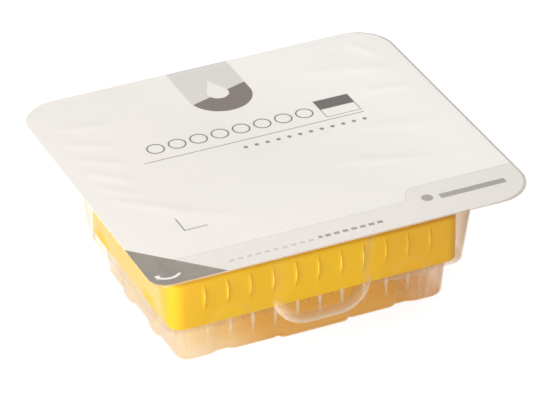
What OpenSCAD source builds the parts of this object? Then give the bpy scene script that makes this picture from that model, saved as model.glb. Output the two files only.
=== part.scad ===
// Sealed refill pack of pipette tips: a formed clear tray with a wide flange,
// a peel-off film sealed on top, and inside it a moulded rack that holds the tips.
// Millimetres. +Z is up, the long side runs along X and the front faces -Y.
// The origin is the centre of the tray's floor, on the surface that the pack stands on.

/* [Tips] */
// Number of tip columns along the long side
columns = 12; // [6:2:14]
// Number of tips in each column
rows = 8; // [4:2:10]
// Distance from one tip to the next, both ways
pitch = 9; // [8.5:0.1:12]
// Length of a tip
tip_len = 51; // [44:1:62]
// Length of the wide collar at the top of a tip
collar_len = 12; // [9:0.5:15]
// Outer radius of the collar
collar_r = 3.6; // [3.4:0.1:4]
// Outer radius of the waist between the collar's two rings
collar_waist_r = 3.3; // [3.1:0.05:3.4]
// Height of the ring at the collar's mouth and of the one that it sits on
collar_ring = 1.4; // [0.8:0.1:2]
// Outer radius of the tip just under its collar
shank_r = 2.9; // [2.5:0.05:3]
// Length of the slender end of the tip
nose_len = 14; // [10:0.5:20]
// Outer radius where the slender end begins
nose_r = 1.25; // [1:0.05:1.6]
// Outer radius of the tip's open end
end_r = 0.45; // [0.4:0.05:0.7]
// Wall of the tip above the slender end
tip_wall = 0.45; // [0.3:0.05:0.6]
// Radius of the hole in the tip's open end
end_bore_r = 0.25; // [0.15:0.05:0.35]
// Radius of the socket that a pipette enters
socket_r = 2.75; // [2.5:0.05:2.9]

/* [Rack] */
// Height of the rack's skirt, from its lower edge to the shoulder
skirt_h = 18.6; // [12:0.2:22]
// Wall of the skirt and of the deck's sides
skirt_t = 1.2; // [0.8:0.1:2]
// Thickness of the deck that the tips hang in
deck_t = 1.5; // [1:0.1:2.5]
// Height of the deck above the shoulder
deck_rise = 6; // [4:0.5:10]
// Width of deck outside the outermost collars
deck_margin = 1.4; // [0.8:0.1:3]
// Width of the shoulder, from the deck's side to the skirt's outer face
shoulder_w = 3.2; // [2.6:0.1:6]
// Radius of the rack's upright corners
rack_r = 5; // [4:0.5:7]
// Radius of the round along the shoulder's outer edge
rim_r = 1.2; // [0.6:0.1:2]
// Clearance between a tip and its hole
hole_gap = 0.25; // [0.15:0.05:0.4]
// Height of the ribs on the skirt
rib_h = 10.6; // [6:0.2:11]
// Width of those ribs
rib_w = 1.6; // [1:0.1:2.5]
// How far those ribs stand out at their middle
rib_out = 1; // [0.5:0.1:1.2]

/* [Tray] */
// Thickness of the tray's sheet
wall = 0.5; // [0.4:0.05:0.8]
// Gap from the tip ends to the tray's floor
floor_gap = 2.5; // [1:0.5:6]
// Gap from the tips' mouths to the film
head_gap = 3.8; // [1:0.2:8]
// Gap between the skirt and the tray along the long sides, where the skirt stands on the ledge
rack_gap = 1.4; // [1.2:0.1:3]
// That gap at the short ends
rack_gap_end = 1.8; // [1.2:0.1:3]
// Lean of the tray's upper walls, in degrees
draft = 5.5; // [2:0.5:8]
// Lean of the tray's lower walls, in degrees
lower_draft = 4; // [2:0.5:6]
// Width of the ledge under the skirt
ledge_w = 3.6; // [3.6:0.1:6]
// Bevel along the ledge's outer edge
ledge_bevel = 1; // [0.5:0.1:1.1]
// Radius of the tray's corners above the ledge
tray_r = 7; // [5:0.5:8]
// Radius of the round along the floor's edge
floor_r = 2.4; // [1:0.1:3]
// How far the plain lower wall stands back behind the middle lobes
lobe_deep = 2.4; // [1.6:0.1:2.6]
// How far the other lobes stand back behind the middle ones
lobe_back = 1.2; // [0.6:0.1:1.4]
// Radius of the lobes' upright edges, which is half that of the tray's lower corners
lobe_r = 3; // [2:0.2:4]
// Width of the middle lobe of a long side
lobe_mid_w = 31; // [22:1:32]
// Width of the lobes on either side of it
lobe_side_w = 22.5; // [18:0.5:24]
// Clear width between those lobes and the middle one, negative where they overlap
lobe_side_gap = -3; // [-4:0.5:-2]
// Length of the lobes at the corners, along the long side
lobe_corner_w = 19.4; // [12:0.2:20]
// Width of the two lobes of a short side
lobe_end_w = 12; // [8:1:14]

/* [Grips and pads of the tray] */
// Half the width of a finger grip, at the ledge
grip_half_w = 20; // [16:1:24]
// Radius of a grip's lower corners
grip_r = 14; // [12:1:19]
// How far a grip stands out from the wall above the ledge
grip_out = 4.2; // [2:0.2:6]
// How far a grip reaches below the ledge
grip_drop = 7; // [3:0.5:8]
// Round between a grip's face and its sides
grip_round = 4; // [1:0.1:4.1]
// Lean of a grip's face, in degrees
grip_draft = 4.5; // [2:0.5:8]
// Radius of the arched pads above the ledge
arch_r = 8; // [5:0.5:9]
// How far those pads stand out
arch_out = 0.9; // [0.5:0.1:1.5]

/* [Flange and film] */
// Width of the flange at the short ends
flange_end = 11; // [8:0.1:20]
// Width of the flange along the long sides
flange_side = 22.3; // [12:0.1:30]
// Thickness of the flange
flange_t = 0.6; // [0.4:0.1:1]
// Radius of three corners of the flange
corner_r = 15; // [8:0.5:18]
// Radius of the front left corner, where the film is peeled
peel_r = 6.5; // [3:0.5:10]
// Thickness of the film
film_t = 0.2; // [0.1:0.05:0.4]
// How far the flange shows beyond the film
film_margin = 0.2; // [0.1:0.1:2]

/* [Hidden] */
TIP_NODES = [for (c = [1 : columns]) str("tip_column_", c)];
$fn = 32;
CLEAR = "#dfe9ea";
FILM = "#efece6";
YELLOW = "#f2b824";
NATURAL = "#e9dcc4";
SKIN = 0.01; // thickness of the slices that a hull joins
OVERCUT = 1; // how far a cut runs past the surface that it opens

// Heights
tip_z = wall + floor_gap;
deck_z = tip_z + tip_len - collar_len;
shoulder_z = deck_z - deck_rise;
seat_z = shoulder_z - skirt_h;
ledge_z = seat_z - wall;
film_z = tip_z + tip_len + head_gap;
flange_z = film_z - flange_t;

// Half sizes, as [along X, along Y], from the tips outwards
outer_tip = [(columns - 1) * pitch / 2, (rows - 1) * pitch / 2];
deck_half = outer_tip + (collar_r + deck_margin) * [1, 1];
skirt_half = deck_half + shoulder_w * [1, 1];
upper_half = skirt_half + wall * [1, 1] + [rack_gap_end, rack_gap];
mouth_half = upper_half + (film_z - ledge_z) * tan(draft) * [1, 1];
lower_half = upper_half - ledge_w * [1, 1];
flange_half = mouth_half + [flange_end, flange_side];
film_half = flange_half - film_margin * [1, 1];

// Places along the sides
lobe_side_x = (lobe_mid_w + lobe_side_w) / 2 + lobe_side_gap;
lobe_end_y = 4 * pitch / 3;
arch_x = 4 * pitch;
arch_y = 2.5 * pitch;
rib_x = [for (i = [1 : columns - 1]) (i - columns / 2) * pitch];
rib_y = [for (i = [1 : rows - 1]) (i - rows / 2) * pitch];

// Flat rounded rectangle about the origin, with exact round corners
module rounded(half, r) {
    square([2 * half.x - 2 * r, 2 * half.y], center = true);
    square([2 * half.x, 2 * half.y - 2 * r], center = true);
    for (sx = [-1, 1], sy = [-1, 1])
        translate([sx * (half.x - r), sy * (half.y - r)])
            circle(r);
}

// The outline of the flange and film, with its tighter peel corner at the front left
module peel_outline(half) {
    rounded(half, corner_r);
    translate([peel_r - half.x, -half.y])
        square(corner_r);
    translate([-half.x, peel_r - half.y])
        square(corner_r);
    translate([peel_r - half.x, peel_r - half.y])
        circle(peel_r);
}

// Thin rounded slice at height z
module slice(half, r, z) {
    translate([0, 0, z])
        linear_extrude(SKIN)
            rounded(half, r);
}

// Block of the lower tray, half.x by half.y at the ledge, leaning in to a rounded foot
module lower_block(centre, half, r, g) {
    foot = half - ledge_z * tan(lower_draft) * [1, 1];
    translate([centre.x, centre.y, 0])
        hull() {
            slice(half - g * [1, 1], r - g, ledge_z + g - SKIN);
            slice(foot - g * [1, 1], r - g, floor_r);
            slice(foot - (g + 0.3 * floor_r) * [1, 1], r - g, g + 0.3 * floor_r);
            slice(foot - (g + floor_r) * [1, 1], r - g, g);
        }
}

// Lower part of the tray: a core with lobes that stand out of it
module lower_part(g) {
    back = lower_half - lobe_back * [1, 1];
    corner_x = back.x - lobe_corner_w / 2;
    lower_block([0, 0], lower_half - lobe_deep * [1, 1], lobe_r, g);
    lower_block([0, 0], [lobe_mid_w / 2, lower_half.y], lobe_r, g);
    for (s = [-1, 1]) {
        lower_block([s * lobe_side_x, 0], [lobe_side_w / 2, back.y], lobe_r, g);
        lower_block([s * corner_x, 0], [lobe_corner_w / 2, back.y], 2 * lobe_r, g);
        lower_block([0, s * lobe_end_y], [lower_half.x, lobe_end_w / 2], lobe_r, g);
    }
}

// Upper part of the tray, from the ledge to the mouth
module upper_part(g) {
    inset = g + ledge_bevel;
    hull() {
        slice(upper_half - inset * [1, 1], tray_r - inset, ledge_z + g);
        slice(upper_half - g * [1, 1], tray_r - g, ledge_z + inset);
        slice(mouth_half - g * [1, 1], tray_r - g, film_z);
    }
}

// Finger grips at the middle of the front and back, which open the ledge
module grips(g) {
    face_y = upper_half.y + grip_out;
    bend_r = min(grip_r, grip_half_w);
    axle_z = ledge_z - grip_drop + bend_r;
    axle_x = grip_half_w - bend_r;
    lean = (film_z - axle_z) * tan(grip_draft);
    top_half = [grip_half_w + lean, face_y + lean];
    hull() {
        slice(top_half - g * [1, 1], 2 * grip_round - g, film_z);
        for (sx = [-1, 1], step = [0, 0.3, 1])
            translate([sx * axle_x, 0, axle_z])
                rotate([90, 0, 0])
                    cylinder(
                        r = bend_r - g - step * grip_round,
                        h = 2 * (face_y - g - (1 - sqrt(step)) * grip_round),
                        center = true
                    );
    }
}

// One arched pad, standing out along -Y from the axis, which its face is reach away from
module arch_pad(reach, g) {
    bevel = 0.8;
    intersection() {
        translate([0, 0, ledge_z + 1])
            rotate([90, 0, 0]) {
                cylinder(r = arch_r - g, h = reach - g - bevel);
                cylinder(r = arch_r - g - bevel, h = reach - g);
            }
        translate([-arch_r, -reach - 1, ledge_z + 1 + g])
            cube([2 * arch_r, reach + 1, 2 * arch_r]);
    }
}

// Arched pads on the walls, just above the ledge, two a side
module arch_pads(g) {
    stand_out = arch_out + (arch_r / 2) * tan(draft);
    for (s = [-1, 1], turn = [0, 180])
        rotate([0, 0, turn])
            translate([s * arch_x, 0, 0])
                arch_pad(upper_half.y + stand_out, g);
    for (s = [-1, 1], turn = [90, 270])
        rotate([0, 0, turn])
            translate([s * arch_y, 0, 0])
                arch_pad(upper_half.x + stand_out, g);
}

// The space that the tray encloses, with its walls moved in by g
module tray_form(g) {
    upper_part(g);
    lower_part(g);
    grips(g);
    arch_pads(g);
}

// Formed clear tray: flange, upper walls, ledge, lobed lower walls and floor
module blister_tray() {
    color(CLEAR, 0.4)
        difference() {
            union() {
                translate([0, 0, flange_z])
                    linear_extrude(flange_t)
                        peel_outline(flange_half);
                intersection() {
                    tray_form(0);
                    translate([-flange_half.x, -flange_half.y, 0])
                        cube([2 * flange_half.x, 2 * flange_half.y, film_z]);
                }
            }
            tray_form(wall);
        }
}

// Peel-off film, sealed to the flange
module lidding_film() {
    color(FILM)
        translate([0, 0, film_z])
            linear_extrude(film_t)
                peel_outline(film_half);
}

// Half section of a block's edge: w wide and h high, with its upper outer corner rounded
module edge_section(w, h, rim) {
    square([w, h - rim]);
    square([w - rim, h]);
    translate([w - rim, h - rim])
        circle(rim);
}

// Straight stretch of such an edge, len long, outside a core that is core_y from the axis
module edge_bar(len, core_y, w, h, rim) {
    translate([-len / 2, -core_y, 0])
        rotate([90, 0, 90])
            mirror([1, 0, 0])
                linear_extrude(len)
                    edge_section(w, h, rim);
}

// Solid block standing at height z, with corners of radius r and a round along its top edge
module rimmed_block(half, r, z, h, rim) {
    core = half - r * [1, 1];
    translate([0, 0, z]) {
        linear_extrude(h)
            square(2 * core, center = true);
        for (turn = [0, 180])
            rotate([0, 0, turn])
                edge_bar(2 * core.x, core.y, r, h, rim);
        for (turn = [90, 270])
            rotate([0, 0, turn])
                edge_bar(2 * core.y, core.x, r, h, rim);
        for (q = [0 : 3])
            translate([(q == 0 || q == 3 ? 1 : -1) * core.x, (q < 2 ? 1 : -1) * core.y, 0])
                rotate([0, 0, 90 * q])
                    rotate_extrude(angle = 90)
                        edge_section(r, h, rim);
    }
}

// One skirt rib, bowed like a lens, standing out along -Y from a face that is face_y away
module skirt_rib(face_y) {
    bow_r = (rib_h * rib_h / 4 + rib_out * rib_out) / (2 * rib_out);
    root = skirt_t / 3;
    intersection() {
        translate([0, bow_r - rib_out - face_y, shoulder_z - rim_r - rib_h / 2])
            rotate([0, 90, 0])
                cylinder(r = bow_r, h = rib_w, center = true);
        translate([-rib_w, -face_y - 2 * rib_out, seat_z - bow_r])
            cube([2 * rib_w, 2 * rib_out + root, skirt_h + 2 * bow_r]);
    }
}

// Moulded rack: a skirt, a shoulder and a raised deck with one hole a tip
module tip_rack() {
    inner_skirt = skirt_half - skirt_t * [1, 1];
    inner_deck = deck_half - skirt_t * [1, 1];
    under_z = seat_z - OVERCUT;
    deck_foot_z = shoulder_z - deck_t / 2;
    color(YELLOW)
        difference() {
            union() {
                rimmed_block(skirt_half, rack_r, seat_z, skirt_h, rim_r);
                rimmed_block(deck_half, rack_r - 1, deck_foot_z, deck_z - deck_foot_z, rim_r / 2);
                for (x = rib_x, turn = [0, 180])
                    rotate([0, 0, turn])
                        translate([x, 0, 0])
                            skirt_rib(skirt_half.y);
                for (y = rib_y, turn = [90, 270])
                    rotate([0, 0, turn])
                        translate([y, 0, 0])
                            skirt_rib(skirt_half.x);
            }
            translate([0, 0, under_z])
                linear_extrude(shoulder_z - deck_t - under_z)
                    rounded(inner_skirt, rack_r - skirt_t);
            translate([0, 0, under_z])
                linear_extrude(deck_z - deck_t - under_z)
                    rounded(inner_deck, rack_r - 1 - skirt_t);
            for (c = [0 : columns - 1], r = [0 : rows - 1])
                translate([c * pitch - outer_tip.x, r * pitch - outer_tip.y, deck_z - deck_t - OVERCUT])
                    cylinder(r = shank_r + hole_gap, h = deck_t + 2 * OVERCUT);
        }
}

// One hollow tip, standing on its open end at z = 0
module tip() {
    collar_z = tip_len - collar_len;
    rotate_extrude()
        polygon([
            [end_bore_r, 0],
            [end_r, 0],
            [nose_r, nose_len],
            [shank_r, collar_z],
            [collar_r, collar_z],
            [collar_r, collar_z + collar_ring],
            [collar_waist_r, collar_z + collar_ring],
            [collar_waist_r, tip_len - collar_ring],
            [collar_r, tip_len - collar_ring],
            [collar_r, tip_len],
            [socket_r, tip_len],
            [shank_r - tip_wall, collar_z],
            [nose_r - tip_wall, nose_len]
        ]);
}

// The tips of one column, numbered from 1 at the left, hanging in the deck by their collars
module tip_column(number) {
    color(NATURAL, 0.7)
        for (r = [0 : rows - 1])
            translate([(number - 1) * pitch - outer_tip.x, r * pitch - outer_tip.y, tip_z])
                tip();
}

blister_tray();
lidding_film();
tip_rack();
for (c = [1 : columns])
    tip_column(c);
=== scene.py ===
"""Looks of a sealed refill pack of pipette tips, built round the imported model.

A clear formed tray, a printed peel film, a moulded rack and hollow tips each stand for
their CAD nodes. The pieces' sizes are in millimetres, which add_piece() turns into metres.
"""
import math
from types import SimpleNamespace

import bpy
import numpy as np
from mathutils import Matrix, Vector


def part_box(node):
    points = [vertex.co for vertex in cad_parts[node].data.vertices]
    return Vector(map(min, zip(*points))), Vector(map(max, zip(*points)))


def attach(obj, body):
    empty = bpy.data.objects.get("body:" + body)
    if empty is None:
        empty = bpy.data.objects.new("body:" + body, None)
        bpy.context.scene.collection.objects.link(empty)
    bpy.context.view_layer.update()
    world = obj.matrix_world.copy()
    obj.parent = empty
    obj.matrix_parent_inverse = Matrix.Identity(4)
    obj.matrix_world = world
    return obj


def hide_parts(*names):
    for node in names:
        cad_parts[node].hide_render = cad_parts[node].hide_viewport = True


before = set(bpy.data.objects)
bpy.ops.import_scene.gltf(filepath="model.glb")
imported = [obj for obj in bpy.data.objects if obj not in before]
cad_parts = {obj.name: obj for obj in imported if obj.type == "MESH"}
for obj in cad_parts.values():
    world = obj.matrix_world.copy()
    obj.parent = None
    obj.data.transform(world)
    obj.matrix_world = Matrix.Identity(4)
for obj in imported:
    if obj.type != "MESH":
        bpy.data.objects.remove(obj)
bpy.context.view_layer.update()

MM = 0.001
FAR = 1000.0  # stands for "nowhere near" in distances
FARTHEST = 90.0  # no outline lies further than this from the points that it's drawn from
HALVINGS = 26  # steps of the search for an outline, each twice as close as the last

# ---------------------------------------------------------------- sizes


def node_box(node):
    """Lowest and highest corner of a CAD node, in millimetres."""
    low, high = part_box(node)
    return np.array(low) / MM, np.array(high) / MM


tray_high = node_box("blister_tray")[1]
film_low, film_high = node_box("lidding_film")
rack_low, rack_high = node_box("tip_rack")
tip_low, tip_high = node_box("tip_column_1")

# Tips and rack
COLUMNS = sum(name.startswith("tip_column_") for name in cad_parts)
ROWS = 8
PITCH = 9.0
COLLAR_LEN = 12.0
COLLAR_R = 3.6
COLLAR_WAIST_R = 3.3
COLLAR_RING = 1.4  # height of the plain rings at both ends of the collar
SHANK_R = 2.9
NOSE_LEN = 14.0
NOSE_R = 1.25
END_R = 0.45
END_BORE_R = 0.25
TIP_WALL = 0.45
SOCKET_R = 2.75
HOLE_R = SHANK_R + 0.25
SKIRT_H = 18.6
SKIRT_T = 1.2
DECK_T = 1.5
SHOULDER_W = 3.2
RACK_R = 5.0
RIM_R = 1.2
RIB_H = 10.6
RIB_W = 1.6
RIB_OUT = 1.0

# Tray
WALL = 0.5
RACK_GAP = 1.4
RACK_GAP_END = 1.8
DRAFT = 5.5  # degrees that the upper walls lean out
LOWER_DRAFT = 4.0  # degrees that the lower walls lean out
LEDGE_W = 3.6
TRAY_R = 7.0
FLOOR_R = 2.4
LOBE_DEEP = 2.4  # from the lobes' faces in to the wall between them
LOBE_BACK = 1.2  # how far the side and corner lobes stand behind the middle one
LOBE_R = 3.0
LOBE_MID_W = 31.0
LOBE_SIDE_W = 22.5
LOBE_SIDE_GAP = -3.0
LOBE_CORNER_W = 19.4
LOBE_END_W = 12.0
LOBE_END_Y = 4 * PITCH / 3
GRIP_HALF_W = 20.0
GRIP_R = 14.0
GRIP_OUT = 4.2
GRIP_DROP = 7.0  # how far a grip's foot hangs below the ledge
GRIP_ROUND = 4.0
GRIP_DRAFT = 4.5  # degrees
ARCH_R = 8.0
ARCH_OUT = 0.9
ARCH_LIFT = 1.0  # its centre above the ledge
ARCH_X = 4 * PITCH
ARCH_Y = 2.5 * PITCH
CORNER_R = 15.0
PEEL_R = 6.5

# Places that follow from them
seal_z = film_low[2]
seat_z = rack_low[2]
ledge_z = seat_z - WALL
deck_z = rack_high[2]
shoulder_z = seat_z + SKIRT_H
skirt_half = rack_high[:2] - RIB_OUT
deck_half = skirt_half - SHOULDER_W
upper_half = skirt_half + WALL + [RACK_GAP_END, RACK_GAP]
lower_half = upper_half - LEDGE_W
flange_half = tray_high[:2]
film_half = film_high[:2]
outer_tip = np.array([COLUMNS - 1, ROWS - 1]) * PITCH / 2
grip_axle_z = ledge_z - GRIP_DROP + GRIP_R


def lean(degrees):
    return math.tan(math.radians(degrees))


# ---------------------------------------------------------------- meshes


def add_piece(name, points, faces, sharp_angle=None):
    """A smooth-shaded mesh object from points in millimetres."""
    mesh = bpy.data.meshes.new(name)
    mesh.from_pydata((np.asarray(points) * MM).tolist(), [], faces)
    mesh.polygons.foreach_set("use_smooth", [True] * len(mesh.polygons))
    if sharp_angle:
        mesh.set_sharp_from_angle(angle=math.radians(sharp_angle))
    mesh.update()
    piece = bpy.data.objects.new(name, mesh)
    bpy.context.scene.collection.objects.link(piece)
    return piece


def ring_faces(rows, count, first=0, flip=False):
    """Quads between closed rings of count points each, stored one after another."""
    faces = []
    for i in range(rows - 1):
        a = first + i * count
        for j in range(count):
            k = (j + 1) % count
            quad = [a + j, a + k, a + count + k, a + count + j]
            faces.append(quad[::-1] if flip else quad)
    return faces


def fan_faces(ring, count, centre, flip=False):
    """Triangles from a closed ring of points to one centre point."""
    faces = []
    for j in range(count):
        tri = [ring + j, ring + (j + 1) % count, centre]
        faces.append(tri[::-1] if flip else tri)
    return faces


def smooth_step(value, low, high):
    t = np.clip((value - low) / (high - low), 0, 1)
    return t * t * (3 - 2 * t)


def smooth_max(a, b, width):
    """The larger of two lengths, with the crease between them rounded over width."""
    blend = np.clip(width - np.abs(a - b), 0, None) / width
    return np.maximum(a, b) + blend * blend * width / 4


def smooth_min(a, b, width):
    return -smooth_max(-a, -b, width)


def walk_round(base_half, step, corner_steps):
    """Points round a rectangle from its front left corner, and the way out at each.

    The corners repeat one point while the way out turns through a quarter circle.
    """
    base, out = [], []
    sides = [(1, -1, (0, -1)), (1, 1, (1, 0)), (-1, 1, (0, 1)), (-1, -1, (-1, 0))]
    for k, (sx, sy, way) in enumerate(sides):
        along = 0 if k % 2 == 0 else 1
        count = 2 * round(base_half[along] / step)
        end = np.array([sx, sy]) * base_half
        start = end.copy()
        start[along] = -end[along]
        for i in range(count):
            base.append(start + (end - start) * i / count)
            out.append(way)
        turn = math.atan2(way[1], way[0])
        for i in range(corner_steps):
            angle = turn + math.pi / 2 * i / corner_steps
            base.append(end)
            out.append((math.cos(angle), math.sin(angle)))
    return np.array(base), np.array(out, float)


def reach(base, out, half, radius, centre=(0, 0)):
    """How far a rounded rectangle reaches from each base point along its way out.

    half is one pair, or one a row and point. It's -FAR where the base point is outside.
    """
    half = np.asarray(half, float)
    low = np.zeros(half.shape[:-1] if half.ndim > 1 else len(base)) + np.zeros(len(base))
    high = low + FARTHEST
    from_centre = base - np.asarray(centre, float)
    core = half - np.asarray(radius)[..., None]

    def outside(distance):
        point = np.abs(from_centre + out * distance[..., None]) - core
        away = np.hypot(*np.moveaxis(np.maximum(point, 0), -1, 0))
        return away + np.minimum(point.max(-1), 0) - radius > 0

    missed = outside(low)
    for _ in range(HALVINGS):
        middle = (low + high) / 2
        over = outside(middle)
        high = np.where(over, middle, high)
        low = np.where(over, low, middle)
    return np.where(missed, -FAR, low)


def shell(name, skin, thickness, sharp_angle=None):
    """A closed thin shell: rings from an open edge to a flat middle, and a copy inside.

    skin is (rings, points, 3), its outer face. The copy lies thickness inside it.
    """
    rows, count = skin.shape[:2]
    along = np.gradient(skin, axis=0)
    round_it = np.roll(skin, -1, 1) - np.roll(skin, 1, 1)
    normal = np.cross(round_it, along)
    normal /= np.linalg.norm(normal, axis=-1, keepdims=True)
    inner = skin + normal * thickness
    middle = skin[-1].mean(0)
    points = [*skin.reshape(-1, 3), *inner.reshape(-1, 3), middle, middle + [0, 0, thickness]]
    second = rows * count
    faces = ring_faces(rows, count, flip=True)
    faces += ring_faces(rows, count, second)
    faces += fan_faces(second - count, count, 2 * second, flip=True)
    faces += fan_faces(2 * second - count, count, 2 * second + 1)
    for j in range(count):
        k = (j + 1) % count
        faces.append([j, k, second + k, second + j])
    return add_piece(name, points, faces, sharp_angle)


# ---------------------------------------------------------------- tray

TRAY_STEP = 0.75  # spacing of the points along the tray's sides
TRAY_CORNER_STEPS = 52
MOUTH_R = 1.6  # round between the flange and the walls
LEDGE_R = 1.0  # rounds at both edges of the ledge
SOFT = 1.3  # how widely the creases between the tray's forms are blended
TRAY_SHIFT = 0.4  # the tray's place along x from the rack's middle
UPPER_RINGS = 30
UPPER_CROWD = 1.7  # above 1, the upper walls' rings crowd towards the ledge
LOWER_RINGS = 11
PAD_SOFT = 1.3  # how widely an arched pad's edge slopes
GRIP_SLOPE = 1.7 * GRIP_ROUND  # how wide a grip's edge is where it runs out into a slope
GRIP_FALL = 3  # how steeply a grip's side falls back to the wall
PEEL_TIGHTER = 3.5  # the flange's peel corner is this much tighter than the film's


def quarter(*degrees):
    """Angles in radians, for the steps of a rounded edge."""
    return np.radians(degrees)


class TrayForm:
    """How far the tray reaches at any height, from the points of a walk round its middle."""

    def __init__(self):
        self.base_half = lower_half - 3 * LOBE_R
        self.base, self.out = walk_round(self.base_half, TRAY_STEP, TRAY_CORNER_STEPS)
        self.x, self.y = np.abs(self.base).T
        self.ahead = np.abs(self.out[:, 1]) == 1  # on the front or the back
        self.beside = np.abs(self.out[:, 0]) == 1  # on an end
        self.across = np.maximum(self.x - (GRIP_HALF_W - GRIP_R), 0)
        self.mouth_z = np.full(len(self.base), seal_z - WALL - MOUTH_R)
        # the shelf is the ledge, which dips to the foot of each grip
        grip_foot = grip_axle_z - np.sqrt(GRIP_R**2 - np.minimum(self.across, GRIP_R) ** 2)
        self.shelf_z = np.where(self.ahead, smooth_min(grip_foot, ledge_z, SOFT), ledge_z)

    def pads(self, z):
        """The arched pads above the ledge, two a side."""
        bump = 0
        sides = ((self.ahead, self.x, ARCH_X), (self.beside, self.y, ARCH_Y))
        for side, along, middle in sides:
            inside = ARCH_R - np.hypot(along - middle, z - ledge_z - ARCH_LIFT)
            bump = bump + side * ARCH_OUT * smooth_step(inside, 0, PAD_SOFT)
        return bump

    def grips(self, z):
        """The grips' faces, with a round edge low down that runs out into a slope higher up."""
        rise = np.maximum(z - grip_axle_z, 0) * lean(GRIP_DRAFT)
        inside = GRIP_R + rise - np.hypot(self.across, np.minimum(z - grip_axle_z, 0))
        held = np.clip(inside, 0, GRIP_ROUND)
        recess = GRIP_ROUND - np.sqrt(GRIP_ROUND**2 - (GRIP_ROUND - held) ** 2)
        slope = GRIP_ROUND * (1 - smooth_step(inside, 0, GRIP_SLOPE))
        recess = recess + (slope - recess) * smooth_step(z, ledge_z + 1, ledge_z + 9)
        face = upper_half[1] + GRIP_OUT + rise - self.base_half[1]
        return np.where(self.ahead, face - recess + GRIP_FALL * np.minimum(inside, 0), -FAR)

    def upper(self, z):
        """The upper walls, with their pads and grips."""
        grow = (z - ledge_z) * lean(DRAFT)
        half = upper_half + grow[..., None]
        wall = reach(self.base, self.out, half, np.full(z.shape, TRAY_R)) + self.pads(z)
        return smooth_max(wall, self.grips(z), SOFT)

    def lower(self, z):
        """The lower walls, as a union of blocks."""
        shrink = (ledge_z - z)[..., None] * lean(LOWER_DRAFT)
        far = -FAR
        for centre, half, radius in lobe_blocks():
            radii = np.full(z.shape, radius)
            block = reach(self.base, self.out, np.array(half) - shrink, radii, centre)
            far = smooth_max(far, block, SOFT)
        return far

    def ring(self, distance, z):
        """The points at these distances and heights."""
        flat = self.base + self.out * np.reshape(distance, (-1, 1))
        return np.column_stack([flat, np.zeros(len(self.base)) + z])


def lobe_blocks():
    """Centre, half sizes and corner radius of each block whose ends are the tray's lobes."""
    back = lower_half - LOBE_BACK
    corner_x = back[0] - LOBE_CORNER_W / 2
    side_x = (LOBE_MID_W + LOBE_SIDE_W) / 2 + LOBE_SIDE_GAP
    blocks = [
        ((0, 0), lower_half - LOBE_DEEP, LOBE_R),
        ((0, 0), (LOBE_MID_W / 2, lower_half[1]), LOBE_R),
    ]
    for s in (-1, 1):
        blocks.append(((s * side_x, 0), (LOBE_SIDE_W / 2, back[1]), LOBE_R))
        blocks.append(((s * corner_x, 0), (LOBE_CORNER_W / 2, back[1]), 2 * LOBE_R))
        blocks.append(((0, s * LOBE_END_Y), (lower_half[0], LOBE_END_W / 2), LOBE_R))
    return blocks


def flange_rings(form):
    """The flange's underside, and the round down into the walls."""
    under_z = seal_z - WALL
    peel = (form.base[:, 0] < 0) & (form.base[:, 1] < 0)
    tight = reach(form.base, form.out, flange_half, PEEL_R - PEEL_TIGHTER)
    rim = np.where(peel, tight, reach(form.base, form.out, flange_half, CORNER_R))
    mouth = form.upper(form.mouth_z)
    for part in (0, 0.02, 0.35, 0.7):
        yield form.ring(rim + (mouth + MOUTH_R - rim) * part, under_z)
    for angle in quarter(0, 25, 50, 75):
        yield form.ring(
            mouth + MOUTH_R * (1 - math.sin(angle)),
            under_z - MOUTH_R * (1 - math.cos(angle)),
        )


def upper_rings(form):
    """The upper walls, down to the shelf."""
    low_z = form.shelf_z + LEDGE_R
    for part in np.linspace(1, 0, UPPER_RINGS) ** UPPER_CROWD:
        z = low_z + (form.mouth_z - low_z) * part
        yield form.ring(form.upper(z), z)


def shelf_rings(form):
    """The shelf and its two rounded edges."""
    low_z = form.shelf_z + LEDGE_R
    outer = form.upper(low_z)
    inner = form.lower(form.shelf_z - LEDGE_R)
    for angle in quarter(20, 45, 70, 90):
        yield form.ring(
            outer - LEDGE_R * (1 - math.cos(angle)),
            low_z - LEDGE_R * math.sin(angle),
        )
    for part in (0.35, 0.7, 1):
        yield form.ring(outer - LEDGE_R + (inner + 2 * LEDGE_R - outer) * part, form.shelf_z)
    for angle in quarter(25, 50, 75):
        yield form.ring(
            inner + LEDGE_R * (1 - math.sin(angle)),
            form.shelf_z - LEDGE_R * (1 - math.cos(angle)),
        )


def lower_rings(form):
    """The lower walls, the rounded foot and the floor."""
    under = form.shelf_z - LEDGE_R
    for part in np.linspace(0, 1, LOWER_RINGS):
        z = under + (FLOOR_R - under) * part
        yield form.ring(form.lower(z), z)
    foot = form.lower(np.full(len(form.base), FLOOR_R))
    for angle in quarter(18, 36, 54, 72, 90):
        edge = form.ring(
            foot - FLOOR_R * (1 - math.cos(angle)),
            FLOOR_R * (1 - math.sin(angle)),
        )
        yield edge
    for part in (0.94, 0.7, 0.35):
        yield edge * [part, part, 1]


def draw_tray():
    """The formed tray, from the flange's edge down to the middle of the floor."""
    form = TrayForm()
    rings = []
    for part in (flange_rings, upper_rings, shelf_rings, lower_rings):
        rings += part(form)
    return shell("clear_tray", np.array(rings) + [TRAY_SHIFT, 0, 0], WALL)


# ---------------------------------------------------------------- film

FILM_ROWS = 120
FILM_COLUMNS = 150
FILM_BEND_STEPS = 12
FILM_SHIFT = -0.5  # the film's place along x from the rack's middle
FLAT_RIM = (4, 12)  # the creases begin and are whole at these distances from the edge
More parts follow.
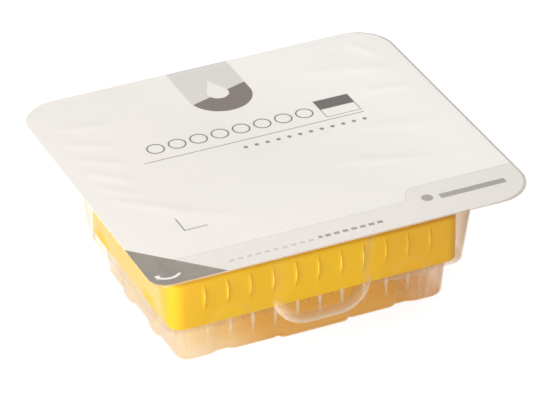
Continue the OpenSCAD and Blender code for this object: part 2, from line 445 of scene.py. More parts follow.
# Soft creases in the film: middle x and y, direction in degrees, length, width, height
CREASES = [
    (-58, -15, -37, 26, 4.9, 0.18),
    (-62, -3, -40, 17, 4.3, 0.14),
    (-62, 8, -38, 19, 4.7, 0.16),
    (-61, 19, -32, 20, 4.5, 0.15),
    (-61, 32, -25, 20, 4.7, 0.15),
    (-59, 45, -14, 26, 5.4, 0.15),
    (-53, 58, 6, 26, 5.2, 0.11),
    (-40, -30, -30, 30, 6.7, 0.12),
    (34, -24, -17, 34, 5.4, 0.17),
    (60, 22, -9, 22, 4.9, 0.17),
    (62, 38, -14, 22, 5.2, 0.15),
    (64, 52, -62, 20, 5.2, 0.18),
    (44, 44, -12, 30, 6.3, 0.14),
    (50, -4, -14, 30, 6.5, 0.14),
    (10, 60, 4, 44, 6.5, 0.11),
]


def crease_height(x, y):
    """How high the creases lift the film."""
    height = 0
    for cx, cy, degrees, length, width, rise in CREASES:
        c, s = math.cos(math.radians(degrees)), math.sin(math.radians(degrees))
        along = (x - cx) * c + (y - cy) * s
        aside = (y - cy) * c - (x - cx) * s
        fade = np.exp(-((2 * along / length) ** 4))
        height = height + rise * fade * np.exp(-((2 * aside / width) ** 2))
    return height


def draw_film():
    """The peel film: a thin sheet with soft creases and one tight corner."""
    thick = film_high[2] - film_low[2]
    bend = np.radians(np.linspace(0, 90, FILM_BEND_STEPS))
    end = film_half[1] - CORNER_R + CORNER_R * np.sin(bend)
    ys = np.concatenate([-end[::-1], np.linspace(-end[0], end[0], FILM_ROWS)[1:-1], end])

    def cut(y, radius):
        """How much narrower the film is at y, past where a corner of that radius begins."""
        past = np.clip(np.abs(y) - (film_half[1] - radius), 0, radius)
        return radius - np.sqrt(np.clip(radius**2 - past**2, 0, None))

    share = np.linspace(0, 1, FILM_COLUMNS)
    left = -film_half[0] + np.where(ys < 0, cut(ys, PEEL_R), cut(ys, CORNER_R))
    right = film_half[0] - cut(ys, CORNER_R)
    x = left[:, None] + (right - left)[:, None] * share
    y = np.repeat(ys[:, None], FILM_COLUMNS, 1)
    inset = np.minimum(film_half[0] - np.abs(x), film_half[1] - np.abs(y))
    z = film_low[2] + crease_height(x, y) * smooth_step(inset, *FLAT_RIM)
    count = x.size
    low = np.stack([x, y, z], -1).reshape(-1, 3)
    points = np.concatenate([low + [0, 0, thick], low])
    rows, cols = x.shape
    faces = []
    for i in range(rows - 1):
        for j in range(cols - 1):
            a = i * cols + j
            quad = [a, a + 1, a + cols + 1, a + cols]
            faces.append(quad)
            faces.append([count + k for k in reversed(quad)])
    border = [(0, j) for j in range(cols)]
    border += [(i, cols - 1) for i in range(1, rows)]
    border += [(rows - 1, j) for j in range(cols - 2, -1, -1)]
    border += [(i, 0) for i in range(rows - 2, 0, -1)]
    edge = [i * cols + j for i, j in border]
    for a, b in zip(edge, edge[1:] + edge[:1]):
        faces.append([b, a, count + a, count + b])
    return add_piece("peel_film", points + [FILM_SHIFT, 0, 0], faces, sharp_angle=50)


# ---------------------------------------------------------------- shader helper


class Shader:
    """A material's node tree, with short calls for the nodes that are used here."""

    def __init__(self, name):
        self.material = bpy.data.materials.new(name)
        self.material.use_nodes = True
        self.tree = self.material.node_tree
        self.tree.nodes.clear()
        self.coordinates = self.node("TexCoord").outputs["Object"]

    def node(self, kind, settings=None, **inputs):
        """A shader node. Inputs go by name, with _ for each space."""
        node = self.tree.nodes.new("ShaderNode" + kind)
        for key, value in (settings or {}).items():
            setattr(node, key, value)
        for key, value in inputs.items():
            self.feed(node.inputs[key.replace("_", " ")], value)
        return node

    def feed(self, socket, value):
        """Links another node's output to a socket, or sets it to a constant."""
        if isinstance(value, bpy.types.NodeSocket):
            self.tree.links.new(value, socket)
        elif socket.type == "RGBA" and len(value) == 3:
            socket.default_value = (*value, 1)
        else:
            socket.default_value = value

    def place(self):
        """x, y and height in millimetres."""
        axes = self.node("SeparateXYZ", Vector=self.coordinates).outputs
        return [self.math("DIVIDE", axis, MM) for axis in axes]

    def math(self, operation, *values):
        node = self.tree.nodes.new("ShaderNodeMath")
        node.operation = operation
        for socket, value in zip(node.inputs, values):
            self.feed(socket, value)
        return node.outputs[0]

    def fold(self, operation, values):
        """One value from several, taken in turn."""
        result = values[0]
        for value in values[1:]:
            result = self.math(operation, result, value)
        return result

    def most(self, *values):
        return self.fold("MAXIMUM", values)

    def least(self, *values):
        return self.fold("MINIMUM", values)

    def plus(self, *values):
        return self.fold("ADD", values)

    def times(self, *values):
        return self.fold("MULTIPLY", values)

    def minus(self, value, other):
        return self.math("SUBTRACT", value, other)

    def power(self, value, exponent):
        return self.math("POWER", value, exponent)

    def gap(self, value, middle=0.0):
        """How far a value lies from middle, without a sign."""
        return self.math("ABSOLUTE", self.minus(value, middle))

    def distance(self, dx, dy):
        return self.math("SQRT", self.plus(self.times(dx, dx), self.times(dy, dy)))

    def noise(self, scale, detail, stretch=(1, 1, 1)):
        place = self.node("Mapping", Vector=self.coordinates, Scale=stretch).outputs[0]
        return self.node("TexNoise", Vector=place, Scale=scale, Detail=detail).outputs["Fac"]

    def ramp(self, value, low, high, to_low=0.0, to_high=1.0):
        """Maps low..high to to_low..to_high, held at the ends."""
        ends = {"From_Min": low, "From_Max": high, "To_Min": to_low, "To_Max": to_high}
        return self.node("MapRange", Value=value, **ends).outputs[0]

    def blend(self, share, first, second):
        """One colour into another by share."""
        node = self.node("Mix", {"data_type": "RGBA"})
        self.feed(node.inputs[0], share)
        self.feed(node.inputs[6], first)
        self.feed(node.inputs[7], second)
        return node.outputs[2]

    def bump(self, height, distance, strength, over=None):
        """A normal from heights, laid over another normal where one is given."""
        node = self.node("Bump", Height=height, Distance=distance, Strength=strength)
        if over is not None:
            self.feed(node.inputs["Normal"], over)
        return node.outputs[0]

    def mix(self, share, first, second):
        """One shader into another by share."""
        node = self.node("MixShader")
        self.feed(node.inputs[0], share)
        self.tree.links.new(first, node.inputs[1])
        self.tree.links.new(second, node.inputs[2])
        return node.outputs[0]

    def finish(self, surface):
        """The material, with this shader as its surface."""
        output = self.node("OutputMaterial")
        self.tree.links.new(surface, output.inputs["Surface"])
        return self.material


# ---------------------------------------------------------------- rack

RACK_STEP = 0.4
RACK_CORNER_STEPS = 18
RIB_STEPS = 22
RIB_FLANK = (0.65, 0.1)  # a rib's flank runs between these distances inside its edge
DECK_FILLET = 0.6
DECK_CORNER_R = RACK_R - 1
INNER_R = RACK_R - SKIRT_T
SKIRT_EDGE_R = 0.25  # round at the skirt's lower edge


def rib_bump(along, z, count):
    """Lens-shaped ribs on the skirt, one between each two tips, count + 1 tips a side."""
    nearest = np.round(along / PITCH)
    aside = np.abs(along - nearest * PITCH)
    on_side = np.abs(nearest) <= (count - 1) / 2
    flank = 1 - smooth_step(aside, *(RIB_W / 2 - inset for inset in RIB_FLANK))
    middle = shoulder_z - RIM_R - RIB_H / 2
    bow = np.clip(1 - ((z - middle) / (RIB_H / 2)) ** 2, 0, None)
    return RIB_OUT * on_side * flank * bow


def rack_ring(walk, half, radius, z, ribs=False):
    """Points round a rounded rectangle, which stands out at the ribs where they're asked for."""
    base, out = walk
    far = reach(base, out, half, np.full(len(base), radius))
    if ribs:
        ahead = np.abs(out[:, 1]) == 1
        beside = np.abs(out[:, 0]) == 1
        far = far + ahead * rib_bump(base[:, 0], z, COLUMNS - 1)
        far = far + beside * rib_bump(base[:, 1], z, ROWS - 1)
    return np.column_stack([base + out * far[:, None], np.full(len(base), z)])


def skirt_rings(walk):
    """The skirt: down its inside, round its foot, up its ribs and over to the shoulder."""
    inside = skirt_half - SKIRT_T
    yield rack_ring(walk, inside, INNER_R, shoulder_z - DECK_T)
    yield rack_ring(walk, inside, INNER_R, seat_z + SKIRT_EDGE_R)
    yield rack_ring(walk, inside + SKIRT_EDGE_R, INNER_R, seat_z)
    yield rack_ring(walk, skirt_half - SKIRT_EDGE_R, RACK_R, seat_z)
    yield rack_ring(walk, skirt_half, RACK_R, seat_z + SKIRT_EDGE_R)
    rib_low = shoulder_z - RIM_R - RIB_H
    for z in np.linspace(rib_low - 0.1, shoulder_z - RIM_R, RIB_STEPS):
        yield rack_ring(walk, skirt_half, RACK_R, z, ribs=True)
    for angle in quarter(18, 36, 54, 72, 90):
        yield rack_ring(
            walk,
            skirt_half - RIM_R * (1 - math.cos(angle)),
            RACK_R - RIM_R * (1 - math.cos(angle)),
            shoulder_z - RIM_R * (1 - math.sin(angle)),
        )


def deck_rings(walk):
    """The raised deck's sides, with a fillet at their foot and a round at their top."""
    for angle in quarter(0, 30, 60, 90):
        yield rack_ring(
            walk,
            deck_half + DECK_FILLET * (1 - math.sin(angle)),
            DECK_CORNER_R,
            shoulder_z + DECK_FILLET * (1 - math.cos(angle)),
        )
    for angle in quarter(0, 30, 60, 90):
        yield rack_ring(
            walk,
            deck_half - RIM_R / 2 * (1 - math.cos(angle)),
            DECK_CORNER_R,
            deck_z - RIM_R / 2 * (1 - math.sin(angle)),
        )


def hollow_rings(walk):
    """The hollow under the shoulder and the deck."""
    yield rack_ring(walk, skirt_half - SKIRT_T, INNER_R, shoulder_z - DECK_T)
    yield rack_ring(walk, deck_half - SKIRT_T, INNER_R, shoulder_z - DECK_T)
    yield rack_ring(walk, deck_half - SKIRT_T, INNER_R, deck_z - DECK_T)


def draw_rack():
    """The moulded rack: skirt, shoulder, raised deck and its holes, as one closed shell."""
    walk = walk_round(deck_half - RACK_R, RACK_STEP, RACK_CORNER_STEPS)
    skin = [*skirt_rings(walk), *deck_rings(walk)]
    hollow = [*hollow_rings(walk)]
    count = len(skin[0])
    points = list(np.concatenate(skin))
    faces = ring_faces(len(skin), count, flip=True)
    top = deck_plate(points, faces, skin[-1], deck_z, up=True)
    first = len(points)
    points += list(np.concatenate(hollow))
    faces += ring_faces(len(hollow), count, first)
    low = deck_plate(points, faces, hollow[-1], deck_z - DECK_T, up=False)
    for a, b in zip(top, low):
        for j in range(len(a)):
            k = (j + 1) % len(a)
            faces.append([a[k], a[j], b[j], b[k]])
    return add_piece("yellow_rack", points, faces, sharp_angle=40)


HOLE_STEPS = 24


def deck_plate(points, faces, border, z, up):
    """A flat plate with a hole for each tip.

    Adds to points and faces, and returns the rings of points round the holes.
    """
    holes = []
    cell = PITCH / 2
    angles = 2 * math.pi * np.arange(HOLE_STEPS) / HOLE_STEPS
    ways = np.column_stack([np.cos(angles), np.sin(angles)])
    square = ways / np.abs(ways).max(1)[:, None] * cell
    for c in range(COLUMNS):
        for r in range(ROWS):
            middle = np.array([c, r]) * PITCH - outer_tip
            first = len(points)
            points += [[*(middle + w * HOLE_R), z] for w in ways]
            points += [[*(middle + s), z] for s in square]
            holes.append([first + j for j in range(HOLE_STEPS)])
            faces += ring_faces(2, HOLE_STEPS, first, flip=not up)
    # the strip round the cells, out to the border
    first = len(points)
    inner = np.clip(border[:, :2], -(outer_tip + cell), outer_tip + cell)
    points += [[*p, z] for p in border[:, :2]]
    points += [[*p, z] for p in inner]
    faces += ring_faces(2, len(border), first, flip=up)
    return holes


# ---------------------------------------------------------------- tips

TIP_STEPS = 36
FLUTES = 12
FLUTE_DEEP = 0.07


def tip_profile():
    """A ring round a tip: radius, height and how strongly the flutes show.

    The rings run up the outside and down the bore.
    """
    top = tip_high[2] - tip_low[2]
    collar = top - COLLAR_LEN
    ring_top = collar + COLLAR_RING
    mouth = top - COLLAR_RING
    return [
        (END_BORE_R, 0.1, 0),
        (END_R - 0.05, 0, 0),
        (END_R, 0.15, 0),
        (NOSE_R, NOSE_LEN, 0),
        (NOSE_R + 0.08, NOSE_LEN + 0.4, 0),
        (SHANK_R, collar - 0.05, 0),
        (SHANK_R + 0.1, collar, 0),
        (COLLAR_R - 0.1, collar, 0),
        (COLLAR_R, collar + 0.15, 0),
        (COLLAR_R, ring_top - 0.2, 0),
        (COLLAR_WAIST_R, ring_top + 0.1, 1),
        (COLLAR_WAIST_R, (ring_top + mouth) / 2, 1),
        (COLLAR_WAIST_R, mouth - 0.1, 1),
        (COLLAR_R, mouth + 0.2, 0),
        (COLLAR_R, top - 0.15, 0),
        (COLLAR_R - 0.15, top, 0),
        (SOCKET_R + 0.15, top, 0),
        (SOCKET_R, top - 0.3, 0),
        (SHANK_R - TIP_WALL, collar, 0),
        (NOSE_R - TIP_WALL, NOSE_LEN, 0),
    ]


def draw_tips(number):
    """The eight hollow tips of one column."""
    profile = tip_profile()
    angles = 2 * math.pi * np.arange(TIP_STEPS) / TIP_STEPS
    one = []
    for radius, height, flute in profile:
        r = radius - flute * FLUTE_DEEP * (1 + np.cos(FLUTES * angles))
        level = np.full(TIP_STEPS, height)
        one.append(np.column_stack([r * np.cos(angles), r * np.sin(angles), level]))
    one = np.concatenate(one)
    points, faces = [], []
    rings = len(profile)
    for row in range(ROWS):
        first = len(points)
        place = [(number - 1) * PITCH - outer_tip[0], row * PITCH - outer_tip[1], tip_low[2]]
        points += list(one + place)
        faces += ring_faces(rings, TIP_STEPS, first)
        last = first + (rings - 1) * TIP_STEPS
        for j in range(TIP_STEPS):
            k = (j + 1) % TIP_STEPS
            faces.append([last + j, last + k, first + k, first + j])
    return add_piece(f"tips_{number}", points, faces, sharp_angle=35)


# ---------------------------------------------------------------- clear sheet

# Tints of what shows through the tray
CLEAR = (0.99, 0.985, 0.975)
CLEAR_GLANCING = (0.89, 0.86, 0.80)
CLEAR_FAR_LOW_RACK_LIGHT = (0.92, 0.75, 0.58)  # painted light off the rack, below the ledge at the far end
CLEAR_END_WALL_REFLECTION = (0.86, 0.73, 0.61)  # painted reflection of the rack's shaded end, on the far end's wall
CLEAR_RIM_SHADE = (0.80, 0.76, 0.72)  # painted shade on the flange's edge, towards the far end
CLEAR_OUTLINE_SHADE = (0.46, 0.40, 0.35)  # painted shade along the far end's outline
# Painted light off the rack that the floor passes on: middle, far end and lit end
AMBER_MIDDLE = (0.90, 0.64, 0.25)
AMBER_FAR = (0.875, 0.605, 0.225)
AMBER_LIT = (1.0, 0.87, 0.64)
# Colours of the tray's milkiness. All but the first are painted: light off the rack low down and
# by its end, and a highlight along the grips
MILK = (0.94, 0.91, 0.86)
MILK_RACK_LIGHT = (0.94, 0.85, 0.60)
MILK_LOW_RACK_LIGHT = (0.97, 0.76, 0.58)
MILK_LOW_LIT = (1.0, 0.87, 0.74)
MILK_LOW_FAR_RACK_LIGHT = (1.0, 0.86, 0.74)
MILK_GRIP_HIGHLIGHT = (1.0, 0.88, 0.74)


def sheet_zones(s):
    """Where a point lies on the tray: its place, how it faces, and shares from 0 to 1."""
    x, y, height = s.place()
    bump = s.bump(s.noise(60, 2), 0.0003, 0.35)
    off_ledge = s.gap(height, ledge_z)
    # the ledge and the wall round a grip look clearer than other parts at the same angle
    round_grip = s.most(
        s.ramp(s.gap(x, TRAY_SHIFT), GRIP_HALF_W + 5, GRIP_HALF_W + 8, 0.78, 1),
        s.ramp(height, ledge_z + 3, ledge_z + 8, 1, 0.78),
    )
    facing = s.times(
        s.node("LayerWeight", Blend=0.5, Normal=bump).outputs["Facing"],
        s.ramp(off_ledge, 1.0, 1.6, 0.6, 1),
        round_grip,
    )
    end_x = upper_half[0]
    return SimpleNamespace(
        x=x,
        y=y,
        height=height,
        bump=bump,
        off_ledge=off_ledge,
        facing=facing,
        low=s.ramp(height, ledge_z - 1, ledge_z + 1, 1, 0),
        lit_end=s.ramp(x, 11 - lower_half[0], -16, 1, 0),  # the end that the light comes from
        far_end=s.ramp(x, 34, 48),
        by_rack=s.ramp(x, 2 - end_x, 4 - end_x, 1, 0),  # where light off the rack's end falls
        grip=grip_highlight(s, x, y, height),
        rim=s.ramp(height, seal_z - WALL - 0.3, seal_z - WALL),
        # painted shade along the far end's glancing outline
        outline=s.times(
            s.power(facing, 4),
            s.ramp(height, ledge_z + 4, ledge_z + 22),
            s.ramp(x, end_x - 6, end_x - 3),
        ),
    )


def grip_highlight(s, x, y, height):
    """1 at the foot of a grip's outline, where a painted highlight whitens the sheet, 0 further in
    and up.
    """
    across = s.most(s.minus(s.gap(x, TRAY_SHIFT), GRIP_HALF_W - GRIP_R), 0)
    down = s.least(s.minus(height, grip_axle_z), 0)
    inside = s.minus(GRIP_R, s.distance(across, down))
    return s.times(
        s.power(s.ramp(inside, 0.4, 8.4, 1, 0), 2.4),
        s.ramp(inside, -0.6, 0),
        s.ramp(s.gap(y), upper_half[1] + 0.4, upper_half[1] + 1.2),
        s.ramp(height, ledge_z + 1, ledge_z + 6, 1, 0.05),
    )


def pad_highlight(s, at):
    """1 along the arched outline of the pads above the ledge, front and back, for a painted
    highlight.
    """
    aside = s.minus(s.gap(at.x, TRAY_SHIFT), ARCH_X)
    up = s.minus(at.height, ledge_z + ARCH_LIFT)
    off = s.gap(s.distance(aside, up), ARCH_R - 0.6)
    return s.times(
        s.ramp(off, 0.2, 0.9, 1, 0),
        s.ramp(s.gap(at.y), upper_half[1] - 0.6, upper_half[1] - 0.2),
        s.ramp(up, 0, 0.5),
    )


def sheet_clarity(s, at):
    """The tint of what shows through the tray, with painted light off the rack, a painted
    reflection and painted shade in it.
    """
    # painted light off the rack tints the floor amber under the rack, fading out to its edges
    past = s.most(s.minus(s.gap(at.x), lower_half[0]), s.minus(s.gap(at.y), lower_half[1]))
    faded = s.times(s.ramp(past, -14, 1), s.ramp(at.lit_end, 0, 1, 0.15, 0.55))
    under_rack = s.times(s.ramp(at.height, 0.6, 2.4, 1, 0), s.minus(1, faded))
    rack_light = s.blend(s.ramp(at.x, -18, 36), AMBER_MIDDLE, AMBER_FAR)
    rack_light = s.blend(at.lit_end, rack_light, AMBER_LIT)
    end_wall_reflection = s.ramp(at.x, upper_half[0] - 6, upper_half[0] + 2, 0, 0.75)
    colour = s.blend(s.power(at.facing, 2), CLEAR, CLEAR_GLANCING)
    # painted light off the rack below the ledge at the far end
    colour = s.blend(s.times(at.low, at.far_end, 0.4), colour, CLEAR_FAR_LOW_RACK_LIGHT)
    # painted reflection of the rack's shaded end on the far end's wall
    colour = s.blend(end_wall_reflection, colour, CLEAR_END_WALL_REFLECTION)
    # painted light off the rack on the tray's floor
    colour = s.blend(under_rack, colour, rack_light)
    # painted shade on the flange's edge towards the far end
    colour = s.blend(s.times(at.rim, s.ramp(at.x, 20, 60)), colour, CLEAR_RIM_SHADE)
    # painted shade along the far end's outline
    return s.blend(at.outline, colour, CLEAR_OUTLINE_SHADE)


def sheet_haze(s, at):
    """The share of the tray's look that is milky instead of clear, raised along the grips, pads,
    ledge and flange's edge as painted highlights.
    """
    streaks = s.noise(420, 2, (1, 1, 0.1))  # upright, where the sheet has stretched most
    low = s.plus(
        s.times(at.lit_end, 0.03),
        s.times(at.far_end, s.ramp(streaks, 0.38, 0.62, 0.13, 0.33)),
        0.025,
    )
    haze = s.plus(
        s.ramp(s.power(at.facing, 2.5), 0, 1, 0.006, 0.2),
        s.times(at.low, low),
        # painted highlight along the grips' feet
        s.times(at.grip, 0.45),
        # painted highlight along the pads' arched edges
        s.times(pad_highlight(s, at), 0.03),
    )
    # painted highlight: extra milkiness along the ledge, faint left of the right-hand grip
    ledge = s.times(
        s.ramp(at.off_ledge, 0.6, 1.1, 0.22, 0),
        s.ramp(at.x, GRIP_HALF_W, GRIP_HALF_W + 8, 0.1, 1),
    )
    # painted highlight: the flange's edge is whiter at the front and back than at the ends
    flange_edge_highlight = s.times(
        s.ramp(s.gap(at.y), flange_half[1] - 0.25, flange_half[1] - 0.1),
        s.ramp(at.x, 40, 52, 1, 0),
    )
    return s.most(haze, ledge, s.times(at.rim, s.ramp(flange_edge_highlight, 0, 1, 0.1, 0.55)))


def clear_sheet():
    """Clear at a square look and milky at a glancing one. Painted light off the rack warms it low
    down, and painted highlights whiten it along the grips, pads, ledge and flange's edge.
    """
    s = Shader("clear_sheet")
    at = sheet_zones(s)
    # painted light off the rack: warmer milk below the ledge, lighter at the lit end and the far
    # end
    rack_light_milk = s.blend(at.lit_end, MILK_LOW_RACK_LIGHT, MILK_LOW_LIT)
    rack_light_milk = s.blend(at.far_end, rack_light_milk, MILK_LOW_FAR_RACK_LIGHT)
    # painted light off the rack's end, on the milk beside it
    tint = s.blend(at.low, s.blend(at.by_rack, MILK, MILK_RACK_LIGHT), rack_light_milk)
    # painted highlight along the grips
    tint = s.blend(at.grip, tint, MILK_GRIP_HIGHLIGHT)
    through = s.node("BsdfTransparent", Color=sheet_clarity(s, at)).outputs[0]
    front = s.node("BsdfDiffuse", Color=tint, Normal=at.bump).outputs[0]
    back = s.node("BsdfTranslucent", Color=tint, Normal=at.bump).outputs[0]
    body = s.mix(sheet_haze(s, at), through, s.mix(0.5, front, back))
    gloss = s.node("BsdfGlossy", Color=(1, 1, 1), Roughness=0.12, Normal=at.bump).outputs[0]
    # the gloss fades along the far end's outline, as part of its painted shade
    shine = s.times(
        s.ramp(s.power(at.facing, 5), 0, 1, 0.003, 0.4),
        s.ramp(at.outline, 0, 1, 1, 0.2),
    )
    return s.finish(s.mix(shine, body, gloss))


# ---------------------------------------------------------------- printed film

WHITE = (0.88, 0.85, 0.81)
WHITE_CLOUD = tuple(0.975 * part for part in WHITE)
WHITE_FAR_LIGHT = (0.935, 0.91, 0.875)  # painted light, whiter towards the back right corner
BAND = (0.80, 0.77, 0.73)
BAND_EDGE = (0.62, 0.60, 0.57)
TAUPE = (0.25, 0.22, 0.19)
TAB_LIGHT = (0.71, 0.68, 0.66)
TAB_DARK = (0.18, 0.146, 0.128)
ARROW = (0.90, 0.89, 0.87)
INK = (0.12, 0.11, 0.10)
DOT_INK = (0.25, 0.23, 0.21)
PALE_DASH_INK = (0.60, 0.58, 0.54)
DASH_INK = (0.30, 0.28, 0.26)
BAR_INK = (0.34, 0.32, 0.30)
SOFT_EDGE = 0.09  # half the width over which a printed edge fades

# The print, in millimetres from the rack's middle. A box is its middle x and y, then half its
# width and height; a disc is its middle and radius; a polygon's corners run counterclockwise.
BAND_TOP = -53.7
BAND_LINE = 0.25
BAND_STEP = [(33.59, -46.0), (31.47, -47.23), (12.86, -80.0), (90.0, -80.0), (90.0, -46.0)]
CORNER_FIELD_Y = -41.0  # where the dark corner field begins on the film's left edge
ARROW_ARC = (-67.7, -58.6, 5.3)
ARROW_W = 1.1
ARROW_ARC_TOP = -62.1
ARROW_HEAD = [(-70.41, -60.84), (-72.73, -60.51), (-72.21, -63.17)]
MARK = [(-46.8, -37.6, 4.5, 0.2), (-51.1, -33.4, 0.2, 4.4)]
RULE = (-2.0, 10.5, 44.4, 0.18)
TWO_TONE = (35.2, 18.7, 7.0, 6.2)
TWO_TONE_TOP = (35.2, 21.6, 7.0, 3.3)
TWO_TONE_LINE = 0.3
RING = (-38.5, 18.6, 3.2)
RING_LINE = 0.56
RING_PITCH = 8.6
RING_ROW = (-8.4, 18.6, 34.3, 5)
DOT = (-8, 5.6, 0.85)
DOT_PITCH = 4.4
DOT_ROW = (16.2, 5.6, 26.3, 2)
PALE_DASH = (-44, -62.6, 1.0, 0.7)
PALE_DASH_ROW = (-28, -62.6, 17, 2)
DASH = (-44, -62.0, 1.1, 0.8)
DASH_ROW = (2.4, -62.0, 12.7, 2)
DASH_PITCH = 3.4
BAR = (54.0, -55.6, 13.2, 1.5)
BAR_DOT = (36.2, -54.6, 2.2)
TAB = (-1.2, 62, 12.5, 17)
TAB_FOOT = (-1.2, 45, 12.5)
TAB_SPLIT = (-0.33, 1, 46.4)  # the slanting line between its two tones, as in Print.line()
DROP = (-1.2, 46.5, 4.2)
DROP_POINT = [(-1.2, 56.5), (-5.01, 48.26), (2.61, 48.26)]


class Print:
    """Flat print on the film. A shape is a distance in millimetres that is below 0 inside it."""

    def __init__(self, s):
        """Bare film, a little cloudy, with painted light that makes it whiter towards the back
        right corner.
        """
        self.s = s
        self.x, self.y, _ = s.place()
        cloud = s.ramp(s.noise(9, 2), 0.35, 0.65)
        # painted light, whiter towards the back right corner
        far_corner_light = s.ramp(s.plus(s.times(self.x, 0.9), s.times(self.y, 0.5)), 0, 55)
        self.colour = s.blend(far_corner_light, s.blend(cloud, WHITE, WHITE_CLOUD), WHITE_FAR_LIGHT)

    def line(self, ax, ay, d):
        """All that lies behind the straight edge ax x + ay y = d, where (ax, ay) points out."""
        length = math.hypot(ax, ay)
        along = self.s.plus(self.s.times(self.x, ax / length), self.s.times(self.y, ay / length))
        return self.s.minus(along, d / length)

    def polygon(self, corners):
        """A convex shape."""
        edges = []
        for (ax, ay), (bx, by) in zip(corners, corners[1:] + corners[:1]):
            way = (by - ay, ax - bx)
            edges.append(self.line(*way, ax * way[0] + ay * way[1]))
        return self.s.most(*edges)

    def box(self, cx, cy, hx, hy, x=None):
        aside = self.s.minus(self.s.gap(self.x if x is None else x, cx), hx)
        return self.s.most(aside, self.s.minus(self.s.gap(self.y, cy), hy))

    def disc(self, cx, cy, r, x=None):
        aside = self.s.minus(self.x if x is None else x, cx)
        return self.s.minus(self.s.distance(aside, self.s.minus(self.y, cy)), r)

    def outline(self, shape, width):
        """A line along a shape's edge."""
        return self.s.minus(self.s.gap(shape), width / 2)

    def repeated(self, first, pitch):
        """x, wrapped so that what's drawn round first repeats at each pitch."""
        return self.s.math("WRAP", self.x, first + pitch / 2, first - pitch / 2)

    def ink(self, shape, colour):
        """Prints a shape over what's there, a little soft at its edge."""
        cover = self.s.ramp(shape, -SOFT_EDGE, SOFT_EDGE, 1, 0)
        self.colour = self.s.blend(cover, self.colour, colour)


def print_fields(p):
    """The band along the front edge, and the dark corner with the peel arrow."""
    band = p.s.least(p.line(0, 1, BAND_TOP), p.polygon(BAND_STEP))
    p.ink(band, BAND)
    p.ink(p.outline(band, BAND_LINE), BAND_EDGE)
    p.ink(p.line(1, 1, CORNER_FIELD_Y - film_half[0]), TAUPE)
    arc = p.s.most(p.outline(p.disc(*ARROW_ARC), ARROW_W), p.line(0, 1, ARROW_ARC_TOP))
    p.ink(p.s.least(arc, p.polygon(ARROW_HEAD)), ARROW)


def print_marks(p):
    """Angle mark, rule, two-tone box, a row of rings over the rule and a row of dots under it."""
    p.ink(p.s.least(*(p.box(*part) for part in MARK)), INK)
    p.ink(p.box(*RULE), INK)
    p.ink(p.outline(p.box(*TWO_TONE), TWO_TONE_LINE), INK)
    p.ink(p.box(*TWO_TONE_TOP), INK)
    ring = p.outline(p.disc(*RING, p.repeated(RING[0], RING_PITCH)), RING_LINE)
    p.ink(p.s.most(ring, p.box(*RING_ROW)), INK)
    dot = p.disc(*DOT, p.repeated(DOT[0], DOT_PITCH))
    p.ink(p.s.most(dot, p.box(*DOT_ROW)), DOT_INK)


def print_dashes(p):
    """Dashes along the band, and a bar with a dot at its right end."""
    for dash, row, ink in ((PALE_DASH, PALE_DASH_ROW, PALE_DASH_INK), (DASH, DASH_ROW, DASH_INK)):
        p.ink(p.s.most(p.box(*dash, p.repeated(dash[0], DASH_PITCH)), p.box(*row)), ink)
    p.ink(p.s.least(p.box(*BAR), p.disc(*BAR_DOT)), BAR_INK)


def print_tab(p):
    """The tab at the back edge: light above, dark below, round at its foot, with a drop on it."""
    tab = p.s.least(p.box(*TAB), p.disc(*TAB_FOOT))
    p.ink(tab, TAB_LIGHT)
    p.ink(p.s.most(tab, p.line(*TAB_SPLIT)), TAB_DARK)
    p.ink(p.s.least(p.disc(*DROP), p.polygon(DROP_POINT)), WHITE)


def printed_film():
    """White film with soft swells and a fine grain, and its print as flat fields of colour."""
    s = Shader("printed_film")
    p = Print(s)
    for part in (print_fields, print_marks, print_dashes, print_tab):
        part(p)
    swell = s.bump(s.noise(38, 3, (1, 1.6, 1)), 0.0005, 0.5)
    paper = s.bump(s.noise(2200, 4), 0.00002, 0.5, over=swell)
    skin = s.node("BsdfPrincipled", Base_Color=p.colour, Roughness=0.42, Normal=paper)
    back = s.node("BsdfTranslucent", Color=(0.8, 0.76, 0.7), Normal=paper).outputs[0]
    return s.finish(s.mix(0.22, skin.outputs[0], back))


# ---------------------------------------------------------------- rack and tip plastics

YELLOW = (0.87, 0.57, 0.010)
YELLOW_CLOUD = (0.88, 0.60, 0.012)
YELLOW_SHADED_END = (0.84, 0.49, 0.010)  # painted shade on the end away from the light
# painted shade on the ribs' flanks, and a painted highlight on their crests
RIB_FLANK_SHADE = (0.79, 0.50, 0.009)
RIB_CREST_HIGHLIGHT = (1.0, 0.84, 0.08)
AMBER = (0.95, 0.48, 0.010)
TIP_SKIN = (1.0, 0.86, 0.68)
TIP_GLOW = (1.0, 0.83, 0.62)
TIP_CLEAR = (0.99, 0.98, 0.96)


def yellow_plastic():
    """Satin yellow that lets some light through, with painted shade on the ribs' flanks and the
    far end, and a painted highlight along the ribs' crests.
    """
    s = Shader("yellow_plastic")
    x, y, _ = s.place()
    out = s.most(s.minus(s.gap(x), skirt_half[0]), s.minus(s.gap(y), skirt_half[1]))
    colour = s.blend(s.ramp(s.noise(40, 2), 0.3, 0.7), YELLOW, YELLOW_CLOUD)
    # painted shade on the ribs' flanks
    colour = s.blend(s.ramp(out, 0.05, 0.3), colour, RIB_FLANK_SHADE)
    # painted highlight along the ribs' crests
    colour = s.blend(s.ramp(out, 0.5, 0.8), colour, RIB_CREST_HIGHLIGHT)
    # painted shade on the end away from the light
    colour = s.blend(s.ramp(x, 20, 34, 0, 0.6), colour, YELLOW_SHADED_END)
    grain = s.bump(s.noise(1500, 4), 0.00003, 0.5)
    skin = s.node(
        "BsdfPrincipled",
        Base_Color=colour,
        Roughness=0.42,
        Specular_IOR_Level=0.25,
        Normal=grain,
    )
    glow = s.node("BsdfTranslucent", Color=AMBER, Normal=grain).outputs[0]
    return s.finish(s.mix(0.3, skin.outputs[0], glow))


